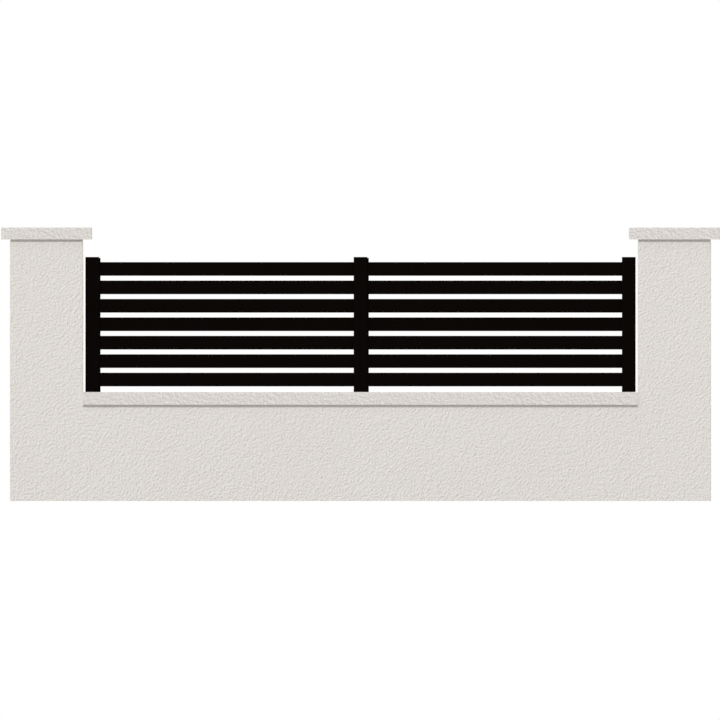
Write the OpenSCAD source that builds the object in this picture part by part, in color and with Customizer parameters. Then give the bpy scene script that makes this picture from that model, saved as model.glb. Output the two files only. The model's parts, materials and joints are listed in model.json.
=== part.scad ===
// Slatted aluminium fence in two bays, standing on the coping of a rendered
// low wall between two rendered pillars with flat cast caps.
//
// Frame: origin on the ground, at the middle of the wall's length and of the
// pillars' depth. +X runs along the fence, -Y is the fair face, +Z is up.
// All sizes are in millimetres.

/* [Pillars] */
// Side of each square pillar
pillar_w = 400; // [300:10:600]
// Height of a pillar's rendered shaft, up to the mortar under its cap
pillar_h = 1419; // [1390:1:2400]
// How far a cap stands out past its pillar on every side
cap_overhang = 50; // [20:1:90]
// Thickness of a pillar's cap
cap_t = 67; // [40:1:120]

/* [Low wall] */
// Length of the wall, which is the clear distance between the pillars
wall_l = 3040; // [1600:10:5000]
// Thickness of the wall, flush with the pillars on the fair face
wall_t = 200; // [140:10:300]
// Height of the wall, up to the mortar under its coping
wall_h = 513; // [200:1:580]
// How far the coping stands out past each face of the wall
coping_overhang = 25; // [20:1:80]
// Thickness of the coping
coping_t = 70; // [40:1:120]

/* [Masonry details] */
// Thickness of the mortar beds under the caps and the coping
bed_t = 14; // [8:1:20]
// How far the mortar is raked back from the faces
bed_recess = 1.5; // [0.5:0.5:10]
// Radius of the rounded edges of render and castings
edge_r = 3; // [2:1:7]
// Width of the drip groove below an overhang
drip_w = 8; // [5:1:10]
// Depth of the drip groove
drip_depth = 6; // [3:1:12]
// Distance of the drip groove from the edge of the casting
drip_inset = 9; // [8:1:10]

/* [Posts] */
// Side of the square post extrusion
post_w = 75; // [70:1:90]
// Wall thickness of the post extrusion
post_wall = 2.5; // [2:0.5:4]
// Radius of the post's outer corners
post_r = 2; // [1:0.5:3]
// Free space between an end post and its pillar
post_gap = 12.5; // [5:0.5:40]
// Width of the groove that takes the slat ends
groove_w = 27; // [26:0.5:34]
// Depth of that groove
groove_depth = 24; // [20:1:28]
// Thickness of the foot plate under a post
foot_t = 5; // [4:1:12]
// Height of the spigot that holds a post on its foot
spigot_h = 250; // [80:10:300]
// Thickness of the cap on a post
post_cap_t = 5; // [3:1:10]
// Length of the cap's skirt inside the post
skirt_h = 15; // [8:1:30]

/* [Slats] */
// Number of slats in a bay
slat_count = 7; // [3:1:7]
// Height of a slat
slat_h = 75; // [40:1:85]
// Thickness of a slat from face to face
slat_t = 22; // [16:1:23]
// Free height between two slats, and below the lowest one
slat_gap = 26; // [10:1:36]
// Wall thickness of the slat extrusion
slat_wall = 1.5; // [1.2:0.1:2.5]
// Radius of the slat's outer corners
slat_r = 3; // [3:0.5:6]
// Free space behind a slat end, left for expansion
slat_play = 5; // [2:1:10]
// Height of the posts above the top slat
head_room = 23; // [8:1:60]

/* [End channels] */
// How far an end channel stands out of its post
channel_reveal = 8; // [4:1:15]
// Wall thickness of an end channel
channel_wall = 1.5; // [1:0.1:1.8]
// Clearance of a channel or a spacer in its seat, on each side
seat_play = 0.2; // [0.1:0.05:0.3]
// How far the spacers stay behind the mouth of their seat
spacer_setback = 3; // [1:1:6]

/* [Hidden] */
// Curves are true cylinders, and a coarse circle is enough to preview them
$fn = 48;
// Overshoot of a cut past the face that it opens
cut = 1;
// Wall thickness of spigots and cap skirts, and their play inside the post
plug_wall = 3;
plug_play = 0.3;
// Thickness of the web that parts the two chambers of a slat
slat_web = 1.2;

// Directions along the fence: a groove or channel faces LEFT or RIGHT
LEFT = -1;
RIGHT = 1;

// Masonry places
pillar_x = (wall_l + pillar_w) / 2;
wall_y = (wall_t - pillar_w) / 2;
cap_w = pillar_w + 2 * cap_overhang;
cap_z = pillar_h + bed_t;
coping_w = wall_t + 2 * coping_overhang;
coping_z = wall_h + bed_t;

// Fence places
fence_z = coping_z + coping_t;
tube_z = fence_z + foot_t;
slat_pitch = slat_gap + slat_h;
tube_h = slat_count * slat_pitch + head_room;
end_post_x = wall_l / 2 - post_gap - post_w / 2;
// Each post's place along the wall and the directions that its grooves face
LEFT_POST = [-end_post_x, [RIGHT]];
CENTRE_POST = [0, [LEFT, RIGHT]];
RIGHT_POST = [end_post_x, [LEFT]];
// Bottom of a groove, measured from the centre line of its post
groove_floor = post_w / 2 - groove_depth;
channel_w = groove_w - 2 * seat_play;

RENDER = [0.86, 0.845, 0.825];
CASTING = [0.85, 0.83, 0.81];
MORTAR = [0.6, 0.59, 0.57];
COATING = [0.035, 0.03, 0.028];
PLASTIC = [0.06, 0.06, 0.06];

// ---- Shapes shared by several pieces ----

// Centred rectangle with rounded corners
module rounded_rect(size, r) {
    square([size.x - 2 * r, size.y], center = true);
    square([size.x, size.y - 2 * r], center = true);
    for (x = [-1, 1], y = [-1, 1])
        translate([x * (size.x / 2 - r), y * (size.y / 2 - r)])
            circle(r);
}

// Extrusion along +X of a section drawn with its width along Y and its height along Z
module along_x(length) {
    rotate([90, 0, 90]) linear_extrude(length) children();
}

// Slab standing on Z = 0 with every edge rounded, as the common part of three profiles
module soft_slab(size, r) {
    intersection() {
        linear_extrude(size.z) rounded_rect([size.x, size.y], r);
        translate([-size.x / 2, 0, size.z / 2])
            along_x(size.x) rounded_rect([size.y, size.z], r);
        rotate([0, 0, 90]) translate([-size.y / 2, 0, size.z / 2])
            along_x(size.y) rounded_rect([size.x, size.z], r);
    }
}

// ---- Masonry ----

// Rendered pillar. The arris where the wall's render runs on stays square,
// so that the fair face is one plane.
module pillar(side) {
    color(RENDER) translate([side * pillar_x, 0, 0]) linear_extrude(pillar_h) {
        rounded_rect([pillar_w, pillar_w], edge_r);
        translate([-side * (pillar_w - edge_r) / 2, (edge_r - pillar_w) / 2])
            square(edge_r, center = true);
    }
}

module cap_mortar(side) {
    bed_w = pillar_w - 2 * bed_recess;
    color(MORTAR) translate([side * pillar_x, 0, pillar_h])
        linear_extrude(bed_t) square(bed_w, center = true);
}

// Flat cast cap with a drip groove all round its underside
module pillar_cap(side) {
    groove_outer = cap_w - 2 * drip_inset;
    color(CASTING) translate([side * pillar_x, 0, cap_z]) difference() {
        soft_slab([cap_w, cap_w, cap_t], edge_r);
        translate([0, 0, -cut]) linear_extrude(drip_depth + cut) difference() {
            square(groove_outer, center = true);
            square(groove_outer - 2 * drip_w, center = true);
        }
    }
}

module wall_core() {
    color(RENDER) translate([-wall_l / 2, wall_y - wall_t / 2, 0])
        cube([wall_l, wall_t, wall_h]);
}

module wall_mortar() {
    color(MORTAR) translate([-wall_l / 2, wall_y - wall_t / 2 + bed_recess, wall_h])
        cube([wall_l, wall_t - 2 * bed_recess, bed_t]);
}

// Section of the coping, with a drip groove below each overhang
module coping_section() {
    groove_y = coping_w / 2 - drip_inset - drip_w / 2;
    difference() {
        rounded_rect([coping_w, coping_t], edge_r);
        for (side = [-1, 1])
            translate([side * groove_y, -coping_t / 2])
                square([drip_w, 2 * drip_depth], center = true);
    }
}

module coping() {
    color(CASTING) translate([-wall_l / 2, wall_y, coping_z + coping_t / 2])
        along_x(wall_l) coping_section();
}

// ---- Posts ----

// Whether a post with these grooves has one that faces dir
function has_groove(grooves, dir) = len(search(dir, grooves)) > 0;

// Half width of the chamber inside the post, on the side that dir points to:
// it ends at the groove's housing where there is one, and else at the wall
function chamber_reach(grooves, dir) =
    (has_groove(grooves, dir) ? groove_floor : post_w / 2) - post_wall;

// Section of the post: a square tube with a slat groove let into each side that faces a bay
module post_section(grooves) {
    housing_w = groove_w + 2 * post_wall;
    housing_x = groove_floor - post_wall;
    difference() {
        rounded_rect([post_w, post_w], post_r);
        difference() {
            square(post_w - 2 * post_wall, center = true);
            for (dir = grooves) scale([dir, 1])
                translate([housing_x, -housing_w / 2]) square([post_w, housing_w]);
        }
        for (dir = grooves) scale([dir, 1])
            translate([groove_floor, -groove_w / 2]) square([post_w, groove_w]);
    }
}

// Short square tube that fills the chamber between the groove housings
module chamber_plug(grooves, h) {
    x0 = -chamber_reach(grooves, LEFT) + plug_play;
    x1 = chamber_reach(grooves, RIGHT) - plug_play;
    w = post_w - 2 * post_wall - 2 * plug_play;
    difference() {
        translate([x0, -w / 2, 0]) cube([x1 - x0, w, h]);
        translate([x0 + plug_wall, plug_wall - w / 2, -cut])
            cube([x1 - x0 - 2 * plug_wall, w - 2 * plug_wall, h + 2 * cut]);
    }
}

module post_tube(post) {
    color(COATING) translate([post[0], wall_y, tube_z])
        linear_extrude(tube_h) post_section(post[1]);
}

// Foot plate under the post and the end channel in it, with the spigot that the post slides over
module post_foot(post) {
    reach = has_groove(post[1], RIGHT) ? channel_reveal : 0;
    color(COATING) translate([post[0], wall_y, fence_z]) {
        linear_extrude(foot_t) translate([reach / 2, 0]) rounded_rect([post_w + reach, post_w], post_r);
        translate([0, 0, foot_t]) chamber_plug(post[1], spigot_h);
    }
}

// Flat push-in cap with its skirt inside the post
module post_cap(post) {
    color(COATING) translate([post[0], wall_y, tube_z + tube_h]) {
        soft_slab([post_w, post_w, post_cap_t], post_r / 2);
        translate([0, 0, -skirt_h]) chamber_plug(post[1], skirt_h);
    }
}

// ---- Slats and what holds them ----

// U channel in a post's right-hand groove, open towards the bay
module end_channel(post) {
    depth = groove_depth + channel_reveal;
    color(COATING) translate([post[0] + groove_floor, wall_y, tube_z])
        linear_extrude(tube_h) difference() {
            translate([0, -channel_w / 2]) square([depth, channel_w]);
            translate([channel_wall, channel_wall - channel_w / 2])
                square([depth, channel_w - 2 * channel_wall]);
        }
}

// Section of the hollow two-chamber slat
module slat_section() {
    difference() {
        rounded_rect([slat_t, slat_h], slat_r);
        rounded_rect([slat_t - 2 * slat_wall, slat_h - 2 * slat_wall], slat_r - slat_wall);
    }
    square([slat_t - slat_wall, slat_web], center = true);
}

// The slats of one bay, from the channel in the first post to the groove of the next post
module slat_bay(post, next_post) {
    x0 = post[0] + groove_floor + channel_wall + slat_play;
    x1 = next_post[0] - groove_floor - slat_play;
    color(COATING) for (i = [0 : slat_count - 1])
        translate([x0, wall_y, tube_z + i * slat_pitch + slat_gap + slat_h / 2])
            along_x(x1 - x0) slat_section();
}

// Spacers that set the gaps between the slat ends in one seat, and the longer
// one that fills the seat above the top slat. The seat starts at x and opens
// towards dir, and the spacers stop short of its mouth.
module spacer_ladder(x, dir, seat_depth, seat_w) {
    size = [seat_depth - spacer_setback, seat_w - 2 * seat_play];
    color(PLASTIC) for (i = [0 : slat_count])
        translate([x + dir * size.x / 2, wall_y, tube_z + i * slat_pitch])
            linear_extrude(i < slat_count ? slat_gap : head_room) square(size, center = true);
}

// Spacers in the end channel, where a bay starts
module start_spacers(post) {
    spacer_ladder(post[0] + groove_floor + channel_wall, RIGHT,
        groove_depth + channel_reveal - channel_wall, channel_w - 2 * channel_wall);
}

// Spacers in the groove of the next post, where the bay ends
module end_spacers(next_post) {
    spacer_ladder(next_post[0] - groove_floor, LEFT, groove_depth, groove_w);
}

// ---- Nodes ----

module left_pillar() { pillar(LEFT); }
module right_pillar() { pillar(RIGHT); }
module low_wall() { wall_core(); }
module left_cap_mortar() { cap_mortar(LEFT); }
module right_cap_mortar() { cap_mortar(RIGHT); }
module coping_mortar() { wall_mortar(); }
module left_pillar_cap() { pillar_cap(LEFT); }
module right_pillar_cap() { pillar_cap(RIGHT); }
module wall_coping() { coping(); }
module left_post_foot() { post_foot(LEFT_POST); }
module centre_post_foot() { post_foot(CENTRE_POST); }
module right_post_foot() { post_foot(RIGHT_POST); }
module left_post() { post_tube(LEFT_POST); }
module centre_post() { post_tube(CENTRE_POST); }
module right_post() { post_tube(RIGHT_POST); }
module left_post_cap() { post_cap(LEFT_POST); }
module centre_post_cap() { post_cap(CENTRE_POST); }
module right_post_cap() { post_cap(RIGHT_POST); }
module left_end_channel() { end_channel(LEFT_POST); }
module right_end_channel() { end_channel(CENTRE_POST); }
module left_slats() { slat_bay(LEFT_POST, CENTRE_POST); }
module right_slats() { slat_bay(CENTRE_POST, RIGHT_POST); }
module left_bay_start_spacers() { start_spacers(LEFT_POST); }
module left_bay_end_spacers() { end_spacers(CENTRE_POST); }
module right_bay_start_spacers() { start_spacers(CENTRE_POST); }
module right_bay_end_spacers() { end_spacers(RIGHT_POST); }

left_pillar();
right_pillar();
low_wall();
left_cap_mortar();
right_cap_mortar();
coping_mortar();
left_pillar_cap();
right_pillar_cap();
wall_coping();
left_post_foot();
centre_post_foot();
right_post_foot();
left_post();
centre_post();
right_post();
left_post_cap();
centre_post_cap();
right_post_cap();
left_end_channel();
right_end_channel();
left_slats();
right_slats();
left_bay_start_spacers();
left_bay_end_spacers();
right_bay_start_spacers();
right_bay_end_spacers();
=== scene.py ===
"""Finishes and studio for a slatted fence on a rendered low wall between two pillars.

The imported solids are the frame. The metal and plastic pieces keep their solids and get
their finishes here. The masonry is modelled again with the relief that a float, a mould
and a pointing iron leave on it, each piece in the place of its solid. Sizes are in metres
and angles in degrees.
"""
import json
import math

import bpy
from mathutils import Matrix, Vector


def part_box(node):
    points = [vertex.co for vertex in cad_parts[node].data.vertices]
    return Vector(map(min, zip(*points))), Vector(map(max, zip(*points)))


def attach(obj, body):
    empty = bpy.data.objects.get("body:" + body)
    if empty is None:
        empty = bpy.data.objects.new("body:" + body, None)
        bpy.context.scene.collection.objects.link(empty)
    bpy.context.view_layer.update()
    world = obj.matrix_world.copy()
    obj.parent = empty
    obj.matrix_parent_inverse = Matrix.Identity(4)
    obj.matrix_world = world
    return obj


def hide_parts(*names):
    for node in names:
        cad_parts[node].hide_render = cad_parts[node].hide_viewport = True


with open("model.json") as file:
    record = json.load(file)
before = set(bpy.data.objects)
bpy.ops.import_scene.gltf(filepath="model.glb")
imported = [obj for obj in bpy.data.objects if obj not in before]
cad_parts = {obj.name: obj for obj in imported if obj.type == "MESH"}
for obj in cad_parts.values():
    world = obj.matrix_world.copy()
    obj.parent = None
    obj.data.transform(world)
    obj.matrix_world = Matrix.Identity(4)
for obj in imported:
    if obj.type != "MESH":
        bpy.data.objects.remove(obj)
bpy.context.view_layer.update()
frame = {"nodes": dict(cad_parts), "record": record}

MM = 0.001
AXES = "XYZ"

# A point this close to a face counts as in it, and a point this close to an edge or groove as on it
IN_FACE = 0.1 * MM
ON_EDGE = 1 * MM
# A face points straight down where its normal's Z is less than this
STRAIGHT_DOWN = -0.99
# Edges that turn by more than this stay sharp in the shading
SHARP_TURN = 50

# The lean of the float's strokes on the render
FLOAT_LEAN = -45
# Reliefs of the masonry: how far apart the bumps are, how much they vary in height, how many finer
# layers they carry, and how far they lean and are drawn out
FLOAT_WAVE = {"size": 120 * MM, "height": 1.3 * MM, "layers": 1, "lean": FLOAT_LEAN, "stretch": 1.5}
SPONGE_GRAIN = {"size": 14 * MM, "height": 2.4 * MM, "layers": 0, "lean": FLOAT_LEAN, "stretch": 1.15}
MOULD_WAVE = {"size": 90 * MM, "height": 0.8 * MM, "layers": 1, "lean": 0, "stretch": 1}
SAND_GRAIN = {"size": 11 * MM, "height": 2.0 * MM, "layers": 0, "lean": 0, "stretch": 1}
MORTAR_LUMPS = {"size": 16 * MM, "height": 1.6 * MM, "layers": 1, "lean": 0, "stretch": 1}

# Coarse cell of a rendered face, and the number of cuts that refines it
RENDER_CELL = 88.5 * MM
RENDER_CUTS = 13
# Width of the rounding on each side of a rendered arris, and how many times it is rubbed down
ARRIS = 3 * MM
ARRIS_RUBS = 4
# Steps of the mortar's surface, up the joint and along it
MORTAR_RISE = 4.7 * MM
MORTAR_RUN = 3 * MORTAR_RISE
# Voxels that round and refine the castings
CAP_VOXEL = 4.0 * MM
COPING_VOXEL = 4.6 * MM
# What is cast too much, and sawn off
CASTING_SPARE = 14 * MM
# Rounded edges and drip grooves of the castings, as on their solids
CASTING_EDGE = 3 * MM
CASTING_EDGE_STEPS = 3
DRIP_INSET = 9 * MM
DRIP_WIDTH = 8 * MM
DRIP_DEPTH = 6 * MM

# How much of a coat its broad clouds of another colour cover where they are densest
CLOUD_SHARE = 0.35


# ---- Shader expressions ----


class Term:
    """A shader socket used as a number: an expression on it adds the nodes that work it out."""

    def __init__(self, finish, socket):
        self.finish = finish
        self.socket = socket

    def __add__(self, other):
        return self.finish.maths("ADD", self, other)

    def __radd__(self, other):
        return self.finish.maths("ADD", other, self)

    def __sub__(self, other):
        return self.finish.maths("SUBTRACT", self, other)

    def __rsub__(self, other):
        return self.finish.maths("SUBTRACT", other, self)

    def __mul__(self, other):
        return self.finish.maths("MULTIPLY", self, other)

    def __rmul__(self, other):
        return self.finish.maths("MULTIPLY", other, self)


class Finish:
    """A node tree being written, for a material or for the world."""

    def __init__(self, tree):
        self.tree = tree
        self.tree.nodes.clear()

    def node(self, kind, settings, sockets, output=0):
        """Adds any node: its settings first, then the values or links of its sockets.

        It gives the chosen output, or nothing where the node has none.
        """
        made = self.tree.nodes.new(kind)
        for name, value in settings.items():
            setattr(made, name, value)
        for key, value in sockets.items():
            if isinstance(value, Term):
                self.tree.links.new(value.socket, made.inputs[key])
            else:
                made.inputs[key].default_value = value
        return Term(self, made.outputs[output]) if made.outputs else None

    def maths(self, operation, first, second, clamp=False):
        """Two numbers added, subtracted or multiplied, and clipped to between 0 and 1 if clamp is true."""
        settings = {"operation": operation, "use_clamp": clamp}
        return self.node("ShaderNodeMath", settings, {0: first, 1: second})

    def mix(self, share, low, high):
        """Two colours mixed by a share."""
        colours = [c if isinstance(c, Term) else (*c, 1.0) for c in (low, high)]
        return self.node("ShaderNodeMix", {"data_type": "RGBA"}, {0: share, 6: colours[0], 7: colours[1]}, 2)

    def place(self, lean=0.0, stretch=1.0):
        """The point on the object in metres, in a frame whose X leans down by an angle and is stretched."""
        point = self.node("ShaderNodeTexCoord", {}, {}, "Object")
        sockets = {"Vector": point, "Rotation": (0, math.radians(lean), 0), "Scale": (stretch, 1, 1)}
        return self.node("ShaderNodeMapping", {"vector_type": "TEXTURE"}, sockets)

    def noise(self, place, size, detail=2.0, rough=0.5):
        """Soft noise from 0 to 1 with features about one size wide.

        Finer ones lie on them in as many layers as detail says, each weaker than the last by rough.
        """
        sockets = {"Vector": place, "Scale": 1 / size, "Detail": detail, "Roughness": rough}
        return self.node("ShaderNodeTexNoise", {}, sockets)

    def contrast(self, term, low, high):
        """A value stretched so that low becomes 0 and high becomes 1, and clipped there."""
        sockets = {"Value": term, "From Min": low, "From Max": high}
        return self.node("ShaderNodeMapRange", {"clamp": True}, sockets)

    def clouded(self, coat, place, size, colour):
        """A coat with broad, faint clouds of another colour in it."""
        cloud = self.noise(place, size)
        return self.mix(self.contrast(cloud, 0.3, 0.7) * CLOUD_SHARE, coat, colour)

    def bump(self, height, depth):
        """A normal that follows a height from 0 to 1, which stands for a real depth."""
        return self.node("ShaderNodeBump", {}, {"Height": height, "Distance": depth})


def new_finish(name):
    """A new material, and its empty node tree to write in."""
    material = bpy.data.materials.new(name)
    material.use_nodes = True
    return material, Finish(material.node_tree)


def surface(name, write):
    """A material whose Principled sockets are what write(finish) gives."""
    material, finish = new_finish(name)
    shader = finish.node("ShaderNodeBsdfPrincipled", {}, write(finish))
    finish.node("ShaderNodeOutputMaterial", {}, {"Surface": shader})
    return material


# ---- Finishes ----


def floated_render(finish):
    """Off-white render under a sponge float: close-set pits and grains in a warm pale coat."""
    place = finish.place(lean=SPONGE_GRAIN["lean"], stretch=SPONGE_GRAIN["stretch"])
    grain = finish.noise(place, 11 * MM, detail=0.0)
    sand = finish.noise(place, 5 * MM, detail=1.0)
    tint = finish.noise(place, 9 * MM, detail=1.0)
    pinkish_paste = (0.689, 0.644, 0.611)
    creamy_paste = (0.671, 0.65, 0.608)
    pale_sand = (0.85, 0.821, 0.78)
    pale_cloud = (0.713, 0.687, 0.655)
    paste = finish.mix(finish.contrast(tint, 0.35, 0.65), pinkish_paste, creamy_paste)
    coat = finish.mix(finish.contrast(sand, 0.55, 0.78), paste, pale_sand)
    return {
        "Base Color": finish.clouded(coat, place, 420 * MM, pale_cloud),
        "Roughness": 0.55 + sand * 0.1,
        "Specular IOR Level": 0.4,
        "Normal": finish.bump(grain * 0.88 + sand * 0.12, 4.9 * MM),
    }


def cast_stone(finish):
    """Fine-grained off-white casting, a shade darker than the render: real sand grain with painted relief
    shading.
    """
    grain_size = 11.5 * MM
    painted_emboss_offset = 5.5 * MM
    # The dark and pale ends of the coat are sand colours that also carry a painted shade and a painted
    # highlight
    dark_sand_and_painted_shade = (0.559, 0.523, 0.496)
    pale_sand = (0.791, 0.763, 0.721)
    pale_cloud = (0.68, 0.649, 0.617)
    place = finish.place(lean=45)
    # The grain is read twice, a little apart; their difference paints a highlight beside a shade, as on
    # relief lit from one side
    beside = finish.node("ShaderNodeVectorMath", {"operation": "ADD"}, {0: place, 1: (0, 0, painted_emboss_offset)})
    grain = finish.noise(place, grain_size, detail=0.0)
    painted_emboss_shading = grain - finish.noise(beside, grain_size, detail=0.0)
    sand = finish.noise(place, 4.5 * MM, detail=1.0)
    # Painted relief shading, mixed with the real sand grain
    sand_and_painted_emboss = finish.contrast(painted_emboss_shading + (sand - 0.5) * 0.5, -0.32, 0.32)
    coat = finish.mix(sand_and_painted_emboss, dark_sand_and_painted_shade, pale_sand)
    return {
        "Base Color": finish.clouded(coat, place, 260 * MM, pale_cloud),
        "Roughness": 0.82 + sand * 0.1,
        "Specular IOR Level": 0.2,
        "Normal": finish.bump(grain * 0.6 + sand * 0.4, 2 * MM),
    }


def raked_mortar(finish):
    """Grey cement mortar, raked back and rough with sand."""
    place = finish.place()
    sand = finish.noise(place, 3 * MM, rough=0.6)
    lumps = finish.noise(place, 14 * MM)
    height = sand * 0.6 + lumps * 0.4
    dark_grey = (0.378, 0.357, 0.331)
    pale_grey = (0.474, 0.445, 0.414)
    return {
        "Base Color": finish.mix(finish.contrast(height, 0.3, 0.7), dark_grey, pale_grey),
        "Roughness": 0.95,
        "Specular IOR Level": 0.1,
        "Normal": finish.bump(height, 3 * MM),
    }


def black_powder_coat(finish):
    """Matt black powder coat with its fine, even grain."""
    place = finish.place()
    grain = finish.noise(place, 1.1 * MM, rough=0.55)
    flow = finish.noise(place, 60 * MM)
    deep_black = (0.0008, 0.0002, 0.0)
    warm_black = (0.0014, 0.0004, 0.0)
    return {
        "Base Color": finish.mix(grain, deep_black, warm_black),
        "Roughness": 0.62 + (flow - 0.5) * 0.12 + (grain - 0.5) * 0.1,
        "Specular IOR Level": 0.02,
        "Normal": finish.bump(grain, 0.12 * MM),
    }


def spacer_plastic(finish):
    """Black moulded plastic with a light spark-eroded texture."""
    grain = finish.noise(finish.place(), 0.7 * MM)
    pit_black = (0.006, 0.006, 0.006)
    rubbed_black = (0.011, 0.011, 0.011)
    return {
        "Base Color": finish.mix(grain, pit_black, rubbed_black),
        "Roughness": 0.5 + grain * 0.15,
        "Specular IOR Level": 0.2,
        "Normal": finish.bump(grain, 0.08 * MM),
    }


FINISHES = {
    "render": surface("off_white_floated_render", floated_render),
    "casting": surface("off_white_cast_stone", cast_stone),
    "mortar": surface("grey_raked_mortar", raked_mortar),
    "coating": surface("matt_black_powder_coat", black_powder_coat),
    "spacer": surface("black_spacer_plastic", spacer_plastic),
}


# ---- Modelling ----


def nowhere(_point):
    """No point of a piece."""
    return False


def everywhere(_point):
    """Every point of a piece."""
    return True


def block(name, low, high):
    """A box between two corners, with its place in its mesh, open for editing."""
    bpy.ops.object.select_all(action="DESELECT")
    bpy.ops.mesh.primitive_cube_add(size=1.0, location=(low + high) / 2, scale=high - low)
    piece = bpy.context.object
    piece.name = piece.data.name = name
    bpy.ops.object.transform_apply(location=True, rotation=True, scale=True)
    bpy.ops.object.mode_set(mode="EDIT")
    bpy.ops.mesh.select_mode(type="FACE")
    return piece


def slice_across(axis, levels):
    """Cuts the edited mesh right through at each level along an axis."""
    normal = [float(letter == axis) for letter in AXES]
    for level in levels:
        bpy.ops.mesh.select_all(action="SELECT")
        bpy.ops.mesh.bisect(plane_co=[level * part for part in normal], plane_no=normal)


def steps_between(low, high, step):
    """The levels that part a length into equal steps of about one size, both ends left out."""
    count = max(1, round((high - low) / step))
    return [low + (high - low) * i / count for i in range(1, count)]


def select_faces(piece, wanted):
    """Selects the faces of the edited piece for which wanted(centre, normal) is true."""
    bpy.ops.mesh.select_all(action="DESELECT")
    bpy.ops.object.mode_set(mode="OBJECT")
    for face in piece.data.polygons:
        face.select = wanted(face.center, face.normal)
    bpy.ops.object.mode_set(mode="EDIT")


def vertex_group(piece, name, wanted):
    """The name of a new group of the piece's vertices for which wanted(point) is true."""
    group = piece.vertex_groups.new(name=name)
    group.add([v.index for v in piece.data.vertices if wanted(v.co)], 1.0, "REPLACE")
    return name


def modify(piece, kind, **settings):
    """Adds a modifier with its settings and applies it."""
    modifier = piece.modifiers.new(kind.lower(), kind)
    for name, value in settings.items():
        setattr(modifier, name, value)
    bpy.context.view_layer.objects.active = piece
    bpy.ops.object.modifier_apply(modifier=modifier.name)


def displace(piece, relief, direction, outwards, middle, group=""):
    """Moves a surface by a relief, along an axis or its own normals.

    outwards is 1 or -1. middle is the level of the relief, from 0 to 1, at which a point stays.
    """
    texture = bpy.data.textures.new(f"{piece.name}_relief", "CLOUDS")
    texture.noise_basis = "IMPROVED_PERLIN"
    texture.noise_scale = relief["size"]
    texture.noise_depth = relief["layers"]
    strokes = bpy.data.objects.new("strokes", None)
    bpy.context.scene.collection.objects.link(strokes)
    strokes.rotation_euler.y = math.radians(relief["lean"])
    strokes.scale.x = relief["stretch"]
    bpy.context.view_layer.update()
    modify(
        piece,
        "DISPLACE",
        texture=texture,
        texture_coords="OBJECT",
        texture_coords_object=strokes,
        direction=direction,
        strength=outwards * relief["height"],
        mid_level=middle,
        vertex_group=group,
    )
    bpy.data.objects.remove(strokes)


def finish_piece(piece, slot, node):
    """Gives a modelled piece its finish and puts it in the place of its solid."""
    bpy.ops.object.select_all(action="DESELECT")
    piece.select_set(True)
    bpy.context.view_layer.objects.active = piece
    bpy.ops.object.shade_smooth_by_angle(angle=math.radians(SHARP_TURN))
    piece.vertex_groups.clear()
    piece.data.materials.append(FINISHES[slot])
    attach(piece, "root")
    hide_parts(node)


def roughen_sides(piece, low, high, reliefs, hidden=nowhere):
    """Gives the upright faces of a box their reliefs, each face along its own axis.

    A point for which hidden(point) is true isn't moved along X, because it meets a neighbour there.
    """
    groups = []
    for axis in range(2):
        for end, outwards in ((low[axis], -1), (high[axis], 1)):
            group = vertex_group(
                piece,
                f"{AXES[axis]}{outwards}",
                lambda co: abs(co[axis] - end) < IN_FACE and not (axis == 0 and hidden(co)),
            )
            groups.append((AXES[axis], outwards, group))
    for axis, outwards, group in groups:
        for relief in reliefs:
            displace(piece, relief, axis, outwards, middle=0.5, group=group)


# ---- Masonry ----

wall_low, wall_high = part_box("low_wall")
coping_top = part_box("wall_coping")[1].z
wall_rows = steps_between(wall_low.z, wall_high.z, RENDER_CELL)


def render_coat(node, cells, roundings, rounded, hidden):
    """A block of masonry under a floated coat, parted into cells that are then refined.

    cells and roundings give levels along axes: where the cells part, and where the rounding of the
    arrises starts. rounded(point) is true on an arris, and hidden(point) where a neighbour is met.
    """
    low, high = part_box(node)
    piece = block(f"{node}_render_coat", low, high)
    for axis, levels in cells.items():
        slice_across(axis, levels)
    bpy.ops.mesh.select_all(action="SELECT")
    bpy.ops.mesh.subdivide(number_cuts=RENDER_CUTS)
    for axis, levels in roundings.items():
        slice_across(axis, levels)
    bpy.ops.object.mode_set(mode="OBJECT")
    arris = vertex_group(piece, "arris", rounded)
    roughen_sides(piece, low, high, (FLOAT_WAVE, SPONGE_GRAIN), hidden)
    modify(piece, "SMOOTH", factor=0.5, iterations=ARRIS_RUBS, vertex_group=arris)
    finish_piece(piece, "render", node)


def pillar_coat(node):
    """A pillar's coat. Its rows are those of the low wall, so that the fair face runs on unbroken."""
    low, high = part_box(node)
    inner = low.x if low.x > 0 else high.x

    def against_wall(co):
        return abs(co.x - inner) < ON_EDGE and co.y < wall_high.y + ON_EDGE and co.z < coping_top

    def rounded(co):
        beside_x = min(co.x - low.x, high.x - co.x) < ON_EDGE
        beside_y = min(co.y - low.y, high.y - co.y) < ON_EDGE
        return beside_x and beside_y and not against_wall(co)

    cells = {
        "X": steps_between(low.x, high.x, RENDER_CELL),
        "Y": steps_between(low.y, high.y, RENDER_CELL),
        "Z": [*wall_rows, wall_high.z, *steps_between(wall_high.z, high.z, RENDER_CELL)],
    }
    roundings = {"X": (low.x + ARRIS, high.x - ARRIS), "Y": (low.y + ARRIS, high.y - ARRIS)}
    render_coat(node, cells, roundings, rounded, hidden=against_wall)


def wall_coat():
    """The low wall's coat. All its edges meet the pillars, the ground or the mortar."""
    cells = {"X": steps_between(wall_low.x, wall_high.x, RENDER_CELL), "Z": wall_rows}
    render_coat("low_wall", cells, {}, rounded=nowhere, hidden=everywhere)


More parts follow.
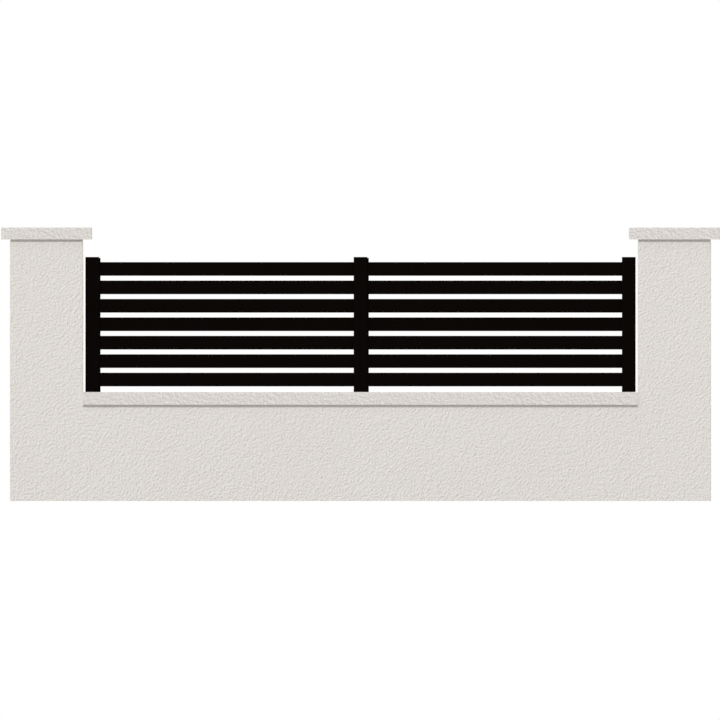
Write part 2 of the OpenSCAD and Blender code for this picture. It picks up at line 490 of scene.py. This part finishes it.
def mortar_bed(node):
    """A bed of mortar with the lumpy edge that raking leaves."""
    low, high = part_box(node)
    piece = block(f"{node}_bed", low, high)
    slice_across("Z", steps_between(low.z, high.z, MORTAR_RISE))
    for axis in range(2):
        slice_across(AXES[axis], steps_between(low[axis], high[axis], MORTAR_RUN))
    bpy.ops.object.mode_set(mode="OBJECT")
    roughen_sides(piece, low, high, (MORTAR_LUMPS,))
    finish_piece(piece, "mortar", node)


def mould(name, low, high):
    """A block for a casting, deeper than it at the bottom, so that the bed can be cut flat."""
    return block(name, low - Vector((0, 0, CASTING_SPARE)), high)


def weather(piece, voxel):
    """Rounds and refines a casting, and gives it its reliefs, inwards only."""
    bpy.ops.object.mode_set(mode="OBJECT")
    modify(piece, "REMESH", mode="VOXEL", voxel_size=voxel)
    for relief in (MOULD_WAVE, SAND_GRAIN):
        displace(piece, relief, "NORMAL", outwards=1, middle=1.0)


def saw_off(cuts):
    """Cuts the active piece flat at each of some (point, outward direction) and closes it there."""
    bpy.ops.object.mode_set(mode="EDIT")
    for point, outwards in cuts:
        bpy.ops.mesh.select_all(action="SELECT")
        bpy.ops.mesh.bisect(plane_co=point, plane_no=outwards, use_fill=True, clear_outer=True)
    bpy.ops.object.mode_set(mode="OBJECT")


def sink_groove(piece, in_groove):
    """Sinks a drip groove into the underside, at the faces for which in_groove(centre) is true."""
    select_faces(piece, lambda centre, normal: normal.z < STRAIGHT_DOWN and in_groove(centre))
    lift = (0, 0, CASTING_SPARE + DRIP_DEPTH)
    bpy.ops.mesh.extrude_region_move(TRANSFORM_OT_translate={"value": lift})


def pillar_cap_casting(node):
    """A flat cap with rounded edges and a drip groove all round its underside."""
    low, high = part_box(node)
    piece = mould(f"{node}_casting", low, high)
    bpy.ops.mesh.select_all(action="SELECT")
    bpy.ops.mesh.bevel(offset=CASTING_EDGE, segments=CASTING_EDGE_STEPS, affect="EDGES")
    select_faces(piece, lambda centre, normal: normal.z < STRAIGHT_DOWN)
    bpy.ops.mesh.inset(thickness=DRIP_INSET - CASTING_EDGE)
    bpy.ops.mesh.inset(thickness=DRIP_WIDTH)
    middle = (low + high) / 2
    ring = (high.x - low.x) / 2 - DRIP_INSET - DRIP_WIDTH / 2

    def in_groove(centre):
        out = max(abs(centre.x - middle.x), abs(centre.y - middle.y))
        return abs(out - ring) < ON_EDGE

    sink_groove(piece, in_groove)
    weather(piece, CAP_VOXEL)
    saw_off([(low, (0, 0, -1))])
    finish_piece(piece, "casting", node)


def coping_casting(node):
    """The coping, with a drip groove below each overhang and its ends sawn square."""
    low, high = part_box(node)
    spare = Vector((CASTING_SPARE, 0, 0))
    piece = mould(f"{node}_casting", low - spare, high + spare)
    grooves = []
    for edge, inwards in ((low.y, 1), (high.y, -1)):
        start = edge + inwards * DRIP_INSET
        grooves.append(sorted((start, start + inwards * DRIP_WIDTH)))
    slice_across("Y", [level for groove in grooves for level in groove])
    sink_groove(piece, lambda centre: any(start < centre.y < end for start, end in grooves))
    weather(piece, COPING_VOXEL)
    saw_off([(low, (0, 0, -1)), (low, (-1, 0, 0)), (high, (1, 0, 0))])
    finish_piece(piece, "casting", node)


# ---- Studio ----

# The view is square on to the fair face, as wide as this, and centred on this X and Z
VIEW_WIDTH = 3.945
VIEW_CENTRE = (-0.0027, 0.7726)
VIEW_DISTANCE = 25.0
FLOOR_SIZE = 80.0
# The floor's colour and glow where it is seen, and the light that it gives back to the object
FLOOR_SEEN = 0.8
FLOOR_GLOW = 0.14
FLOOR_BOUNCE = 0.4
# The light of the surroundings on the object, where 1 would be white
AMBIENT = 0.5
# The lamps. Azimuth 0 lights the fair face square on, and 90 comes from the right
SOFTBOXES = {
    "key_softbox": {"azimuth": -3, "elevation": 6, "strength": 0.6, "softness": 14},
    "front_softbox": {"azimuth": 8, "elevation": 2, "strength": 0.38, "softness": 20},
    "raking_fill": {"azimuth": -50, "elevation": 33, "strength": 1.7, "softness": 30, "casts": False},
    "top_softbox": {"azimuth": 165, "elevation": 60, "strength": 0.6, "softness": 25},
    "back_softbox": {"azimuth": 150, "elevation": 28, "strength": 1.25, "softness": 25},
}


def softbox(name, azimuth, elevation, strength, softness, casts=True):
    """A distant lamp that looks as wide as softness. It casts shadows only if casts is true."""
    lamp = bpy.data.lights.new(name, "SUN")
    lamp.energy = strength
    lamp.angle = math.radians(softness)
    lamp.use_shadow = casts
    holder = bpy.data.objects.new(name, lamp)
    bpy.context.scene.collection.objects.link(holder)
    holder.rotation_euler = (math.radians(90 - elevation), 0, math.radians(azimuth))


def seen_rays(finish):
    """1 for the rays that see a thing itself, directly, in a reflection or through glass."""
    camera_ray, glossy_ray, clear_ray = (
        finish.node("ShaderNodeLightPath", {}, {}, f"Is {kind} Ray")
        for kind in ("Camera", "Glossy", "Transmission")
    )
    return finish.maths("ADD", camera_ray + glossy_ray, clear_ray, clamp=True)


def white_world():
    """Pure white wherever it is seen, and a plain pale light on the object."""
    world = bpy.data.worlds.new("studio")
    world.use_nodes = True
    bpy.context.scene.world = world
    finish = Finish(world.node_tree)
    strength = AMBIENT + seen_rays(finish) * (1 - AMBIENT)
    light = finish.node("ShaderNodeBackground", {}, {"Color": (1, 1, 1, 1), "Strength": strength})
    finish.node("ShaderNodeOutputWorld", {}, {"Surface": light})


def floor():
    """A plain white floor that keeps the object's shadow, and lights the object evenly from below."""
    bpy.ops.object.select_all(action="DESELECT")
    bpy.ops.mesh.primitive_plane_add(size=FLOOR_SIZE)
    plane = bpy.context.object
    plane.name = "floor"
    material, finish = new_finish("white_floor")
    seen = seen_rays(finish)
    grey = finish.mix(seen, (0, 0, 0), (FLOOR_SEEN,) * 3)
    diffuse = finish.node("ShaderNodeBsdfDiffuse", {}, {"Color": grey})
    strength = FLOOR_BOUNCE + seen * (FLOOR_GLOW - FLOOR_BOUNCE)
    glow = finish.node("ShaderNodeEmission", {}, {"Strength": strength})
    both = finish.node("ShaderNodeAddShader", {}, {0: diffuse, 1: glow})
    finish.node("ShaderNodeOutputMaterial", {}, {"Surface": both})
    plane.data.materials.append(material)


def camera():
    """A camera without perspective, level and square on to the fair face."""
    lens = bpy.data.cameras.new("camera")
    lens.type = "ORTHO"
    lens.ortho_scale = VIEW_WIDTH
    holder = bpy.data.objects.new("camera", lens)
    bpy.context.scene.collection.objects.link(holder)
    holder.location = (VIEW_CENTRE[0], -VIEW_DISTANCE, VIEW_CENTRE[1])
    holder.rotation_euler = (math.radians(90), 0, 0)
    bpy.context.scene.camera = holder


# ---- The whole ----

for subpart in frame["record"]["subparts"]:
    for material_slot in frame["nodes"][subpart["node"]].material_slots:
        material_slot.material = FINISHES[subpart["material_slot"]]

for side in ("left", "right"):
    pillar_coat(f"{side}_pillar")
    mortar_bed(f"{side}_cap_mortar")
    pillar_cap_casting(f"{side}_pillar_cap")
wall_coat()
mortar_bed("coping_mortar")
coping_casting("wall_coping")

camera()
white_world()
floor()
for box_name, box_settings in SOFTBOXES.items():
    softbox(box_name, **box_settings)
bpy.context.scene.view_settings.view_transform = "Standard"
